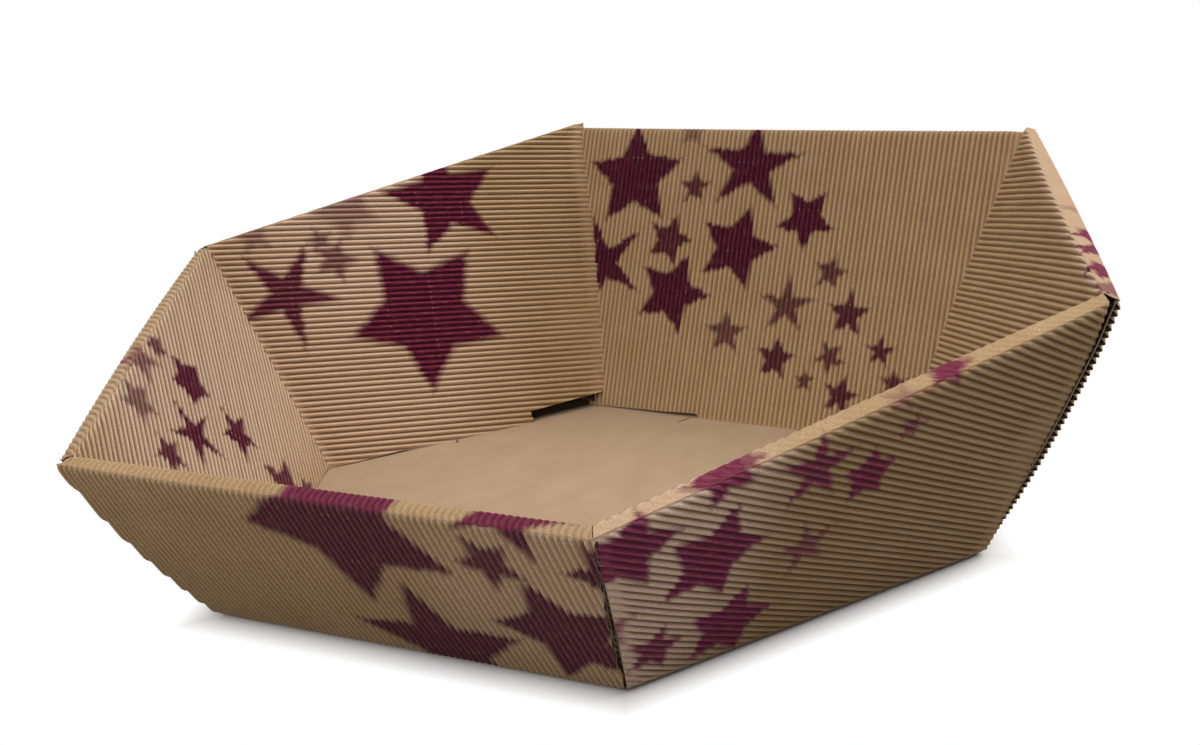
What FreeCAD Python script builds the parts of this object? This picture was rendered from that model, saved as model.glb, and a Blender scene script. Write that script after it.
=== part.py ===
"""Hexagonal gift box: an open tray folded from one sheet of single-face corrugated board.

Six double walls lean outwards from a hexagonal base. Each wall is an outer panel, a narrow rim
strip and an inner panel whose tab is locked in a slot of the base. The flutes are on the outside of
the blank, all parallel to Y there, so they turn with every panel that is folded up. The rim is low
at the front and high at the back. Front is -Y, up is +Z, lengths are millimetres.
"""
import FreeCAD, Part
import math
import os

Vector = FreeCAD.Vector

# Driving dimensions: the base outline and the rim, both on the crests of the outer flutes.
# The back wall's rim runs a little lower than the tips of the two walls beside it.
FRONT_SIDE = 165.0
BACK_SIDE = 168.0
BASE_WIDTH = 299.0
FRONT_DEPTH = 132.0
BACK_DEPTH = 112.0
FRONT_HEIGHT = 65.0
SIDE_HEIGHT = 96.0
BACK_HEIGHT = 126.0
BACK_DROP = 4.5
FRONT_SLOPE = 27.7
FRONT_SIDE_SLOPE = 25.8
BACK_SIDE_SLOPE = 22.7
BACK_SLOPE = 22.8

# The double wall: its rim strip, and how far the foot of each inner panel stands in from the base fold
RIM_WIDTH = 6.3
RIM_RISE = 23.0
FLOOR_STEPS = {"front": 4.6, "front_side": 4.6, "back_side": 7.5, "back": 9.0}

# The board: a smooth liner with open flutes on its outer face
LINER = 0.5
FLUTE_HEIGHT = 1.0
FLUTE_PITCH = 2.4
BASE_CREST = 0.5
BOARD = LINER + FLUTE_HEIGHT
CREASE = 1.2
FLUTE_ROOT = 0.1

# Clearances between edges that meet without being joined
EDGE_GAP = 0.3
CORNER_GAP = 0.4
SLOT_GAP = 0.3
FOOT_GAP = 0.5

# Side flaps of the two front side walls and the back wall, hidden in the walls beside them
FLAP = 0.6
FLAP_REACH = 24.0
FLAP_TOP_GAP = 5.0
FLAP_FOOT = 0.45

# Tabs: start and end as fractions of the foot of each inner panel
TAB_SPANS = {
    "front": (0.36, 0.64),
    "front_side": (0.30, 0.70),
    "back_side": (0.27, 0.75),
    "back": (0.36, 0.64),
}
TAB_OVERLAP = 4.0
TAB_END = 0.3
TAB_FACE = 0.4
NOTCH_HEIGHT = 6.0

# How far cutting shapes reach past what they cut: in millimetres, and as a fraction of a wall's length
MARGIN = 1.0
BEYOND = 0.2
BIG = 500.0

UP = Vector(0, 0, 1)


class Plane:
    """A plane by its unit normal and one point."""

    def __init__(self, normal, point):
        self.normal = Vector(normal)
        self.normal.normalize()
        self.point = Vector(point)

    def behind(self, depth):
        return Plane(self.normal, self.point - self.normal * depth)

    def offset(self):
        return self.normal.dot(self.point)


def meet(first, second, third):
    """The point that three planes share."""
    a = first.normal
    b = second.normal
    c = third.normal
    total = b.cross(c) * first.offset() + c.cross(a) * second.offset() + a.cross(b) * third.offset()
    return total * (1.0 / a.dot(b.cross(c)))


def solid_between(top, bottom, sides):
    """Convex plate between two planes, bounded by side planes given in order around it."""
    count = len(sides)
    upper = [meet(top, sides[i], sides[(i + 1) % count]) for i in range(count)]
    lower = [meet(bottom, sides[i], sides[(i + 1) % count]) for i in range(count)]
    faces = [polygon(upper), polygon(lower)]
    for i in range(count):
        j = (i + 1) % count
        faces.append(polygon([upper[i], upper[j], lower[j], lower[i]]))
    solid = Part.Solid(Part.Shell(faces))
    if solid.Volume < 0:
        solid.reverse()
    return solid


def polygon(points):
    return Part.Face(Part.makePolygon(points + [points[0]]))


def bisector(first, second, point):
    """The mitre plane of a fold between two panels that meet at a point."""
    return Plane(first.normal - second.normal, point)


class Panel:
    """One flat panel of the folded sheet and its place on the blank.

    The plane lies on the flute crests, with its normal on the fluted side. Two directions in the
    panel, along and away, are paired with the directions they have on the flat blank.
    """

    def __init__(self, plane, origin, along, away, blank_origin, blank_along, blank_away):
        self.plane = plane
        self.origin = origin
        self.along = along
        self.away = away
        self.blank_origin = blank_origin
        self.blank_along = blank_along
        self.blank_away = blank_away

    def across_flutes(self):
        return self.along * self.blank_along.x + self.away * self.blank_away.x

    def to_blank(self, point):
        step = point - self.origin
        spot = self.blank_origin + self.blank_along * step.dot(self.along)
        return spot + self.blank_away * step.dot(self.away)

    def plate(self, sides):
        return solid_between(self.plane.behind(FLUTE_HEIGHT), self.plane.behind(BOARD), sides)

    def flutes(self, sides, crest=0.0):
        """Ridges over a part of the panel, in step with the flutes of the whole blank."""
        bed = solid_between(self.plane.behind(-MARGIN), self.plane.behind(FLUTE_HEIGHT + LINER / 2), sides)
        across = self.across_flutes()
        run = across.cross(self.plane.normal)
        reach = [across.dot(v.Point - self.origin) + self.blank_origin.x for v in bed.Vertexes]
        first = math.floor(min(reach) / FLUTE_PITCH) - 1
        last = math.ceil(max(reach) / FLUTE_PITCH) + 1

        def point(x, depth):
            return self.origin + across * (x - self.blank_origin.x) - self.plane.normal * depth

        outline = [point(first * FLUTE_PITCH, BOARD)]
        for number in range(first, last):
            valley = number * FLUTE_PITCH
            outline.append(point(valley, FLUTE_HEIGHT - FLUTE_ROOT))
            middle = valley + FLUTE_PITCH / 2
            if crest > 0:
                outline.append(point(middle - crest / 2, 0.0))
                outline.append(point(middle + crest / 2, 0.0))
            else:
                outline.append(point(middle, 0.0))
        outline.append(point(last * FLUTE_PITCH, FLUTE_HEIGHT - FLUTE_ROOT))
        outline.append(point(last * FLUTE_PITCH, BOARD))
        profile = polygon(outline)
        profile.translate(run * -BIG)
        return profile.extrude(run * (2 * BIG)).common(bed)


def base_corners():
    half = BASE_WIDTH / 2
    return {
        "front_left": Vector(-FRONT_SIDE / 2, -FRONT_DEPTH, 0),
        "left": Vector(-half, 0, 0),
        "back_left": Vector(-BACK_SIDE / 2, BACK_DEPTH, 0),
        "back_right": Vector(BACK_SIDE / 2, BACK_DEPTH, 0),
        "right": Vector(half, 0, 0),
        "front_right": Vector(FRONT_SIDE / 2, -FRONT_DEPTH, 0),
    }


# Walls in order around the base, clockwise seen from above: kind, slope, whether it has side flaps,
# and the heights of its rim at its start and its end
BACK_RIM = BACK_HEIGHT - BACK_DROP
WALLS = [
    ("front_side", FRONT_SIDE_SLOPE, True, (FRONT_HEIGHT, SIDE_HEIGHT)),
    ("back_side", BACK_SIDE_SLOPE, False, (SIDE_HEIGHT, BACK_HEIGHT)),
    ("back", BACK_SLOPE, True, (BACK_RIM, BACK_RIM)),
    ("back_side", BACK_SIDE_SLOPE, False, (BACK_HEIGHT, SIDE_HEIGHT)),
    ("front_side", FRONT_SIDE_SLOPE, True, (SIDE_HEIGHT, FRONT_HEIGHT)),
    ("front", FRONT_SLOPE, False, (FRONT_HEIGHT, FRONT_HEIGHT)),
]


class Wall:
    """The planes and panels of one double wall, from its base fold to the foot of its inner panel."""

    def __init__(self, kind, slope, flaps, rim_heights, start, end):
        self.kind = kind
        self.flaps = flaps
        self.rim_heights = rim_heights
        self.floor_step = FLOOR_STEPS[kind]
        self.start = start
        self.end = end
        self.edge = (end - start).normalize()
        self.outward = Vector(-self.edge.y, self.edge.x, 0)
        lean = math.radians(slope)
        self.up = self.outward * math.sin(lean) + UP * math.cos(lean)
        self.outer_plane = Plane(self.outward * math.cos(lean) - UP * math.sin(lean), start)

    def raise_rim(self, rim_start, rim_end):
        """Sets the rim strip and the inner panel once the rim's two corners are known."""
        self.rim_start = rim_start
        self.rim_end = rim_end
        start = self.start
        self.outer = Panel(self.outer_plane, start, self.edge, self.up, start, self.edge, self.outward)
        rim = (rim_end - rim_start).normalize()
        level = Vector(rim.y, -rim.x, 0).normalize()
        rise = math.radians(RIM_RISE)
        inward = level * math.cos(rise) + UP * math.sin(rise)
        inward = (inward - rim * inward.dot(rim)).normalize()
        blank_rim = self.edge * rim.dot(self.edge) + self.outward * rim.dot(self.up)
        blank_away = Vector(-blank_rim.y, blank_rim.x, 0)
        blank_start = self.outer.to_blank(rim_start)
        self.strip_plane = Plane(rim.cross(inward) * -1, rim_start)
        self.strip = Panel(self.strip_plane, rim_start, rim, inward, blank_start, blank_rim, blank_away)
        fold = rim_start + inward * RIM_WIDTH
        middle = (self.start + self.end) * 0.5 - self.outward * self.floor_step + UP * BOARD
        down = middle - fold
        down = (down - rim * down.dot(rim)).normalize()
        self.inner_plane = Plane(rim.cross(down) * -1, fold)
        blank_fold = blank_start + blank_away * RIM_WIDTH
        self.inner = Panel(self.inner_plane, fold, rim, down, blank_fold, blank_rim, blank_away)
        self.base_mitre = bisector(self.outer_plane, BASE_PLANE, self.start)
        self.rim_mitre = bisector(self.outer_plane, self.strip_plane, rim_start)
        self.fold_mitre = bisector(self.strip_plane, self.inner_plane, fold)

    def across(self, fraction):
        """A plane square to the wall at a fraction of its base fold."""
        return Plane(self.edge, self.start + (self.end - self.start) * fraction)


BASE_PLANE = Plane(UP * -1, Vector())


def level_at(height):
    return Plane(UP, UP * height)


def make_walls():
    corners = list(base_corners().values())
    count = len(corners)
    walls = []
    for i, row in enumerate(WALLS):
        walls.append(Wall(*row, corners[i], corners[(i + 1) % count]))
    for i, wall in enumerate(walls):
        before = walls[i - 1].outer_plane
        after = walls[(i + 1) % count].outer_plane
        rim_start = meet(before, wall.outer_plane, level_at(wall.rim_heights[0]))
        rim_end = meet(wall.outer_plane, after, level_at(wall.rim_heights[1]))
        wall.raise_rim(rim_start, rim_end)
    return walls


def outer_end(wall, neighbour):
    """Where an outer panel stops: flush with the next wall, or just behind it where a flap is folded."""
    if wall.flaps:
        return neighbour.outer_plane.behind(BOARD + EDGE_GAP)
    return neighbour.outer_plane


def inner_end(wall, neighbour):
    """Where an inner panel stops: before the next one, or behind its edge."""
    if wall.flaps:
        return neighbour.inner_plane.behind(BOARD)
    return neighbour.inner_plane.behind(-EDGE_GAP)


def strip_end(wall, neighbour, corner):
    """The mitred end of a rim strip, with half of the corner's gap."""
    split = Plane(wall.outward - neighbour.outward, corner)
    toward = 1.0 if split.normal.dot(wall.outward) > 0 else -1.0
    return Plane(split.normal, corner + split.normal * (toward * CORNER_GAP / 2))


def inset(plane, centre, depth):
    """A side plane moved towards the middle of its panel."""
    side = 1.0 if plane.normal.dot(centre - plane.point) > 0 else -1.0
    return Plane(plane.normal, plane.point + plane.normal * (side * depth))


def outer_panel(wall, before, after):
    ends = (outer_end(wall, after), outer_end(wall, before))
    centre = (wall.start + wall.end + wall.rim_start + wall.rim_end) * 0.25
    plate = wall.outer.plate([wall.base_mitre, ends[0], wall.rim_mitre, ends[1]])
    crease = CREASE if wall.flaps else 0.0
    low = inset(wall.base_mitre, centre, CREASE)
    high = inset(wall.rim_mitre, centre, CREASE)
    sides = [low, inset(ends[0], centre, crease), high, inset(ends[1], centre, crease)]
    return [plate, wall.outer.flutes(sides)]


def rim_strip(wall, before, after):
    """The rim strip, mitred at both ends and cut back like its outer panel where a flap is folded."""
    ends = (strip_end(wall, after, wall.rim_end), strip_end(wall, before, wall.rim_start))
    sides = [wall.rim_mitre, ends[0], wall.fold_mitre, ends[1]]
    if wall.flaps:
        sides.insert(1, outer_end(wall, after))
        sides.append(outer_end(wall, before))
    return [wall.strip.plate(sides)]


def inner_panel(wall, before, after):
    ends = (inner_end(wall, after), inner_end(wall, before))
    foot = level_at(BOARD + FOOT_GAP)
    centre = (wall.rim_start + wall.rim_end + wall.start + wall.end) * 0.25 - wall.outward * wall.floor_step
    plate = wall.inner.plate([wall.fold_mitre, ends[0], foot, ends[1]])
    fold = inset(wall.fold_mitre, centre, CREASE)
    pieces = [plate, wall.inner.flutes([fold, ends[0], foot, ends[1]])]
    if wall.kind == "back_side":
        pieces = [piece.cut(notch(wall)) for piece in pieces]
    pieces.append(tab(wall, TAB_END, BOARD + TAB_OVERLAP, 0.0))
    return pieces


def notch(wall):
    """The higher foot of a back side wall's inner panel, on its back wall side."""
    first, last = TAB_SPANS[wall.kind]
    towards_back = wall.end.y > wall.start.y
    near = wall.across(last) if towards_back else wall.across(1 - last)
    far = wall.across(1 + BEYOND) if towards_back else wall.across(-BEYOND)
    sides = [near, level_at(BOARD + NOTCH_HEIGHT), far, level_at(0)]
    face = wall.inner_plane
    return solid_between(face.behind(-MARGIN), face.behind(BOARD + MARGIN), sides)


def tab(wall, low, high, gap):
    """The locking tab, or with a gap around it the slot that it enters."""
    first, last = TAB_SPANS[wall.kind]
    if wall.end.y < wall.start.y:
        first, last = 1 - last, 1 - first
    spare = gap / (wall.end - wall.start).Length
    sides = [wall.across(first - spare), level_at(high), wall.across(last + spare), level_at(low)]
    face = wall.inner_plane
    return solid_between(face.behind(TAB_FACE - gap), face.behind(BOARD + gap), sides)


def side_flap(wall, neighbour, at_end):
    """A flap folded from an outer panel's side edge into the hollow of the next wall."""
    corner = wall.end if at_end else wall.start
    rim_corner = wall.rim_end if at_end else wall.rim_start
    toward = neighbour.edge if at_end else neighbour.edge * -1
    outside = neighbour.outer_plane.behind(BOARD + EDGE_GAP)
    tip = Plane(neighbour.edge, corner + (rim_corner - corner) * 0.5 + toward * FLAP_REACH)
    root = wall.outer_plane.behind(FLUTE_HEIGHT)
    rim = (neighbour.rim_end - neighbour.rim_start).normalize()
    top = Plane(neighbour.outer_plane.normal.cross(rim), rim_corner)
    if top.normal.z < 0:
        top = Plane(top.normal * -1, top.point)
    top = top.behind(FLAP_TOP_GAP)
    foot = level_at(rim_corner.z * FLAP_FOOT)
    return solid_between(outside, outside.behind(FLAP), [root, top, tip, foot])


def base_panel(walls):
    right = Vector(1, 0, 0)
    back = Vector(0, 1, 0)
    panel = Panel(BASE_PLANE, Vector(), right, back, Vector(), right, back)
    sides = [wall.base_mitre for wall in walls]
    plate = panel.plate(sides)
    flutes = panel.flutes([inset(side, Vector(), CREASE) for side in sides], BASE_CREST)
    slots = [tab(wall, -MARGIN, BOARD + MARGIN, SLOT_GAP) for wall in walls]
    return [plate.cut(slots), flutes.cut(slots)]


def folded_box():
    walls = make_walls()
    count = len(walls)
    pieces = base_panel(walls)
    for i, wall in enumerate(walls):
        before = walls[i - 1]
        after = walls[(i + 1) % count]
        pieces += outer_panel(wall, before, after)
        pieces += rim_strip(wall, before, after)
        pieces += inner_panel(wall, before, after)
        if wall.flaps:
            pieces.append(side_flap(wall, before, False))
            pieces.append(side_flap(wall, after, True))
    fused = pieces[0].multiFuse(pieces[1:])
    box = max(fused.Solids, key=lambda solid: solid.Volume)
    bounds = box.BoundBox
    box.translate(Vector(-bounds.Center.x, -bounds.Center.y, -bounds.ZMin))
    return box


os.makedirs("parts", exist_ok=True)
shape = folded_box()
print("faces", len(shape.Faces), "volume", round(shape.Volume, 1), "valid", shape.isValid())
print("bounds", shape.BoundBox)
shape.exportStep("parts/folded_box.step")
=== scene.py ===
"""Looks of the hexagonal gift box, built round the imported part.

The sheet of single-face corrugated board is modelled flute by flute: a thin wavy paper over a
smooth liner, folded at scored creases. Shapes are worked out in millimetres and written in metres.
Every panel keeps its place on the flat blank, so the flutes and the printed stars run in step
through the folds.
"""
import bmesh
import bpy
import math
import numpy as np
from mathutils import Euler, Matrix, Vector


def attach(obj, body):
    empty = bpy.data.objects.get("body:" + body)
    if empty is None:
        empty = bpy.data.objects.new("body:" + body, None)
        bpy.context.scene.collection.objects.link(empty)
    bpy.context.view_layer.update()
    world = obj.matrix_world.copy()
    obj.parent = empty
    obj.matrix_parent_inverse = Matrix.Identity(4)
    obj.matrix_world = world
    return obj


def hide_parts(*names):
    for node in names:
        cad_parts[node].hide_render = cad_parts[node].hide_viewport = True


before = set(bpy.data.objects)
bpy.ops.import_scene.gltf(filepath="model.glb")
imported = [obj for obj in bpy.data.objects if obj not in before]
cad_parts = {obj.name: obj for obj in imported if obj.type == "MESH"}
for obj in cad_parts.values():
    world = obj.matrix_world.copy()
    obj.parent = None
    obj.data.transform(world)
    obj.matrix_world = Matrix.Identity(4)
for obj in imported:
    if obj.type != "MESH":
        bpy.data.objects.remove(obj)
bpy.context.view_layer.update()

MM = 0.001

# The box, as in the part's source
FRONT_SIDE = 165.0
BACK_SIDE = 168.0
BASE_WIDTH = 299.0
FRONT_DEPTH = 132.0
BACK_DEPTH = 112.0
FRONT_HEIGHT = 65.0
SIDE_HEIGHT = 96.0
BACK_HEIGHT = 126.0
BACK_DROP = 4.5
SLOPES = {"front": 27.7, "front_side": 25.8, "back_side": 22.7, "back": 22.8}
FLOOR_STEPS = {"front": 4.6, "front_side": 4.6, "back_side": 7.5, "back": 9.0}
RIM_WIDTH = 6.3
RIM_RISE = 23.0
FLUTE_PITCH = 2.4
FLUTE_HEIGHT = 1.0
BOARD = 1.5
EDGE_GAP = 0.3
CORNER_GAP = 0.4
SHIFT_Y = 0.27

# The floor's shadow fades out between these distances from the foot of the walls, in metres
SHADOW_NEAR = 0.0
SHADOW_FAR = 0.012

# The board in mm: both papers and the space between them, the radius of a crease, how many points
# are set across a flute, and how many flutes one step of the liner spans
MEDIUM = 0.22
LINER = 0.35
LINER_SPACE = 0.1
CREASE_RADIUS = 1.35
SAMPLES = 8
LINER_STEP = 2
# A flute's section is a raised cosine to this power, which falls where it stands open
FLUTE_ROUND = 0.9
OPEN_ROUND = 0.3
LEAST_ROUND = 0.5
# How a flute wanders: size in mm, and its waves along and across the flutes
WANDERS = ((0.07, 9.0, 0.9), (0.05, 3.7, -1.7))
# How soon a flute that is pressed flat loses the painted shade in its valleys
TONE_POWER = 0.6
# Edges sharper than this many degrees are shaded as edges, and points this near (m) are joined
SHARP_ANGLE = 72.0
JOIN_DISTANCE = 0.00001

# Rows of points along a flute: distances from a fold, shares of the rest, and the most of a flute's
# length that the rows at one end take
ROWS = (0.0, 0.3, 0.7, 1.2, 2.0, 3.4)
MIDDLE_ROWS = (0.2, 0.4, 0.6, 0.8)
MOST_ROWS = 0.42
# A fold's slant is 1 where it is square to the flutes: the least for a flap, and one for all the base
LEAST_SLANT = 0.3
BASE_SLANT = 0.45
# An end this near to a fold is on it, and isn't closed; and the shortest that a flute gets
ON_FOLD = 0.02
LEAST_FLUTE = 0.0001

# How much lower the flutes are pressed at a crease, and how far from it; two rims are pressed flatter
USUAL_CREASE = (0.62, 1.7)
SOFT_RIMS = {"front_right": (0.85, 2.2), "back_right": (0.75, 2.0)}
# The same at a cut edge, and how much an open edge keeps its flutes from it
CUT_CRUSH = 0.45
CUT_REACH = 1.2
OPEN_KEEPS = 9
OPEN_REACH = 5.0
# The rim strips: flute height at each wall, lowest share and what the middle adds, lift and lean
STRIP_HEIGHTS = {
    "front": 0.50, "front_right": 0.13, "front_left": 0.46,
    "back": 0.3, "back_right": 0.16, "back_left": 0.3,
}
STRIP_LOW = 0.6
STRIP_MORE = 0.5
STRIP_LIFT = 0.18
STRIP_LEAN = 0.9
# How much wider the flutes get towards the ends of the sheet, from this far from its middle
WIDER_FROM = 82.0
WIDER = {"front_right": 0.00025, "back_right": 0.0001, "front_left": 0.00012, "back_left": 0.00006}

# Glued flaps: depth, slant of both ends, and space to the panel they lie behind
FLAP_DEPTH = 24.0
FLAP_SLANT = 7.0
FLAP_SPACE = 1.6


def vec(x, y, z=0.0):
    return np.array([x, y, z], float)


def unit(v):
    return v / np.linalg.norm(v)


UP = vec(0, 0, 1)


class Plane:
    """A plane by its unit normal and one point."""

    def __init__(self, normal, point):
        self.normal = unit(np.asarray(normal, float))
        self.point = np.asarray(point, float)

    def behind(self, depth):
        return Plane(self.normal, self.point - self.normal * depth)


def meet(*planes):
    """The point that three planes share."""
    rows = np.array([p.normal for p in planes])
    return np.linalg.solve(rows, np.array([p.normal @ p.point for p in planes]))


class Panel:
    """A flat panel with its place on the blank; its normal is on the fluted side."""

    def __init__(self, origin, along, away, spot, spot_along, spot_away):
        self.origin, self.along, self.away = origin, along, away
        self.spot, self.spot_along, self.spot_away = spot, spot_along, spot_away
        self.normal = np.cross(away, along)
        back = np.linalg.inv(np.array([spot_along[:2], spot_away[:2]]))
        self.across = along * back[0, 0] + away * back[0, 1]
        self.run = along * back[1, 0] + away * back[1, 1]
        self.plane = Plane(self.normal, origin)

    def to_blank(self, point):
        step = point - self.origin
        return self.spot + self.spot_along * (step @ self.along) + self.spot_away * (step @ self.away)


class Fold:
    """A fold line or edge on the blank, seen from one panel, with half of the angle that it turns."""

    def __init__(self, start, end, inside, half=0.0, rim=False):
        self.start = np.asarray(start[:2], float)
        line = unit(np.asarray(end[:2], float) - self.start)
        side = np.array([-line[1], line[0]])
        if (np.asarray(inside[:2], float) - self.start) @ side < 0:
            side = -side
        self.line = line
        self.side = side
        self.half = half
        self.reach = CREASE_RADIUS * math.tan(half)
        self.rim = rim

    def distance(self, x, y):
        return (x - self.start[0]) * self.side[0] + (y - self.start[1]) * self.side[1]


def half_turn(first, second):
    return 0.5 * math.acos(max(-1.0, min(1.0, float(first @ second))))


# Degrees that each inner panel's flutes are turned on it, as the real blank isn't cut quite true
INNER_TURN = {"front_left": -2.5, "back_left": 3.3, "back": -0.8, "back_right": -0.6}


def turned(v, degrees):
    c = math.cos(math.radians(degrees))
    s = math.sin(math.radians(degrees))
    return vec(v[0] * c - v[1] * s, v[0] * s + v[1] * c)


class Wall:
    """One wall: its outer panel, rim strip and inner panel, with their places on the blank."""

    def __init__(self, name, kind, flaps, start, end, heights):
        self.name, self.kind, self.flaps = name, kind, flaps
        self.start, self.end, self.heights = start, end, heights
        self.edge = unit(end - start)
        self.outward = vec(-self.edge[1], self.edge[0])
        lean = math.radians(SLOPES[kind])
        self.up = self.outward * math.sin(lean) + UP * math.cos(lean)
        self.outer = Panel(start, self.edge, self.up, start, self.edge, self.outward)

    def raise_rim(self, rim_start, rim_end):
        self.rim_start = rim_start
        self.rim_end = rim_end
        rim = unit(rim_end - rim_start)
        level = unit(vec(rim[1], -rim[0]))
        rise = math.radians(RIM_RISE)
        inward = level * math.cos(rise) + UP * math.sin(rise)
        inward = unit(inward - rim * (inward @ rim))
        spot_rim = self.edge * (rim @ self.edge) + self.outward * (rim @ self.up)
        spot_away = vec(-spot_rim[1], spot_rim[0])
        spot = self.outer.to_blank(rim_start)
        self.strip = Panel(rim_start, rim, inward, spot, spot_rim, spot_away)
        fold = rim_start + inward * RIM_WIDTH
        step = FLOOR_STEPS[self.kind]
        middle = (self.start + self.end) * 0.5 - self.outward * step + UP * BOARD
        down = middle - fold
        down = unit(down - rim * (down @ rim))
        self.rim_length = np.linalg.norm(rim_end - rim_start)
        turn = INNER_TURN.get(self.name, 0.0)
        half = self.rim_length / 2
        spot_fold = spot + spot_away * RIM_WIDTH + (spot_rim - turned(spot_rim, turn)) * half
        self.inner = Panel(fold, rim, down, spot_fold, turned(spot_rim, turn), turned(spot_away, turn))

    def rim_share(self, panel, x, y):
        """How far along the rim, from 0 to 1, a spot is on the blank of the strip or the inner panel."""
        rim = panel.spot_along
        return ((x - panel.spot[0]) * rim[0] + (y - panel.spot[1]) * rim[1]) / self.rim_length


def level(height):
    return Plane(UP, vec(0, 0, height))


def make_walls():
    right = ((FRONT_SIDE / 2, -FRONT_DEPTH), (BASE_WIDTH / 2, 0), (BACK_SIDE / 2, BACK_DEPTH))
    corners = [vec(-x, y) for x, y in right] + [vec(x, y) for x, y in right[::-1]]
    back = BACK_HEIGHT - BACK_DROP
    kinds = [
        ("front_left", "front_side", True, (FRONT_HEIGHT, SIDE_HEIGHT)),
        ("back_left", "back_side", False, (SIDE_HEIGHT, BACK_HEIGHT)),
        ("back", "back", True, (back, back)),
        ("back_right", "back_side", False, (BACK_HEIGHT, SIDE_HEIGHT)),
        ("front_right", "front_side", True, (SIDE_HEIGHT, FRONT_HEIGHT)),
        ("front", "front", False, (FRONT_HEIGHT, FRONT_HEIGHT)),
    ]
    walls = []
    for i, (name, kind, flaps, heights) in enumerate(kinds):
        walls.append(Wall(name, kind, flaps, corners[i], corners[(i + 1) % 6], heights))
    for i, wall in enumerate(walls):
        before = walls[i - 1]
        after = walls[(i + 1) % 6]
        rim_start = meet(before.outer.plane, wall.outer.plane, level(wall.heights[0]))
        rim_end = meet(wall.outer.plane, after.outer.plane, level(wall.heights[1]))
        wall.raise_rim(rim_start, rim_end)
    return walls


# Small departures from flat panels, in mm.
# Rim crease, rim fold and foot: how far each moves outwards, up and along the wall, at its start,
# middle and end.
RIM_SHIFT = {
    "front": ((0, 0.2), (0, -0.4), (0, 0, 1.0)),
    "front_left": ((0.5, 0, -0.3), (2.2, 0), (0, 0)),
    "front_right": ((0, 0.8), (0.5, 0.5), (0, 0.4)),
    "back_left": ((0, -0.5), (0, -0.6), (0, -0.9)),
    "back": ((1.5, 1.2), (0, 1.4), (1.0, 1.2)),
    "back_right": ((4.0, -1.0, 3.4), (2.8, 0, 0), (0, 0, 0)),
}
FOLD_SHIFT = {
    "front": ((0, 0.5), (0, 0.3), (0, 0)),
    "front_right": ((0, 1.0), (0, 1.2), (0, 0.3)),
    "front_left": ((0, 0, -0.8), (0, 0), (0, 0)),
    "back_left": ((0, -0.4), (0, -0.5), (0, -0.9)),
    "back": ((3.5, 1.2), (0, 1.4), (3.0, 1.2)),
    "back_right": ((4.0, -0.8, 3.6), (0, 0, 0), (-0.8, 0, 0)),
}
FOOT_SHIFT = {
    "front_left": ((0, 0), (1.0, 0), (2.4, 0)),
    "back_left": ((2.0, 0.3), (0, 0), (-2.5, 0)),
    "back": ((4.5, 0), (-0.6, 0), (-3.0, 0)),
    "back_right": ((-4.0, 0), (0.5, 0), (4.0, 0)),
}
# Swell of the outer and the inner panel away from its flat plane, on the fluted side, at the start,
# middle and end. It fades out towards a side edge with a flap: STIFF_EDGE says how fast.
STIFF_EDGE = 12
OUTER_SWELL = {
    "front": (0.6, 1.2, 1.5),
    "front_right": (0.3, 1.0, 0.6),
    "front_left": (1.0, 1.2, 0.6),
    "back_right": (0.6, 1.2, 2.8),
    "back_left": (1.2, 1.2, 0.6),
    "back": (0.5, 1.0, 0.5),
}
INNER_SWELL = {
    "back_left": (0.3, 0.8, 2.2),
    "back": (0.2, -0.6, 0.2),
    "back_right": (0.6, 0.6, 0.2),
    "front_left": (0.2, 0.5, 0.2),
}
# Side edges that aren't straight: share of their length from the base or from the rim fold, and how
# far the edge stands back there (less than 0: proud)
STRAIGHT = ((0, 0), (1, 0))
OUTER_EDGES = {
    ("front_right", "start"): (
        (0, -5.3), (0.2, -5.8), (0.33, -6.8), (0.45, -7.2), (0.55, -6.3),
        (0.63, -5.1), (0.73, -3.9), (0.85, -2.6), (0.93, -0.5), (1, 1.2),
    ),
    ("front_right", "end"): (
        (0, -3.0), (0.15, -2.7), (0.35, -2.5), (0.66, -2.8), (0.9, -3.6), (1, -3.6),
    ),
    ("front", "start"): ((0, 0.3), (0.3, 1.1), (0.64, 0.8), (1, 0)),
    ("back", "end"): ((0, 0), (1, -3.8)),
    ("front", "end"): ((0, 0), (0.2, -1.6), (0.45, -2.6), (0.7, -2.4), (1, -0.4)),
    ("back_right", "end"): (
        (0, 1.6), (0.24, 0.4), (0.45, 0.4), (0.67, 0), (0.84, -1.4), (1, -0.4),
    ),
}
# Cut edges where the flutes stand open: how much deeper they are there
OPEN_EDGES = {("back_right", "end"): 1.3, ("front", "start"): 0.3, ("front", "end"): 0.4}
# How far each glued flap stays from the foot and from the rim
USUAL_TRIMS = (0.6, 16.0)
FLAP_TRIMS = {
    ("front_right", "start"): (42.0, 16.0),
    ("back", "start"): (0.6, 6.0),
    ("back", "end"): (0.6, 6.0),
}
# Walls whose outer panel runs on past its flaps, so that its side edges show as cuts
PROUD_WALLS = ("front_right",)
INNER_EDGES = {
    ("back_left", "start"): ((0, 0), (0.5, -0.9), (1, -2.0)),
    ("back_left", "end"): ((0, -4.8), (0.35, -7.6), (0.7, -9.8), (1, -11.4)),
    ("back", "start"): ((0, 0), (0.5, -2.0), (1, -2.5)),
    ("back_right", "start"): ((0, -1.0), (0.5, 1.0), (1, 2.4)),
    ("back", "end"): ((0, -4.0), (0.2, -3.2), (0.5, -3.4), (1, -6.0)),
}
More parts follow.
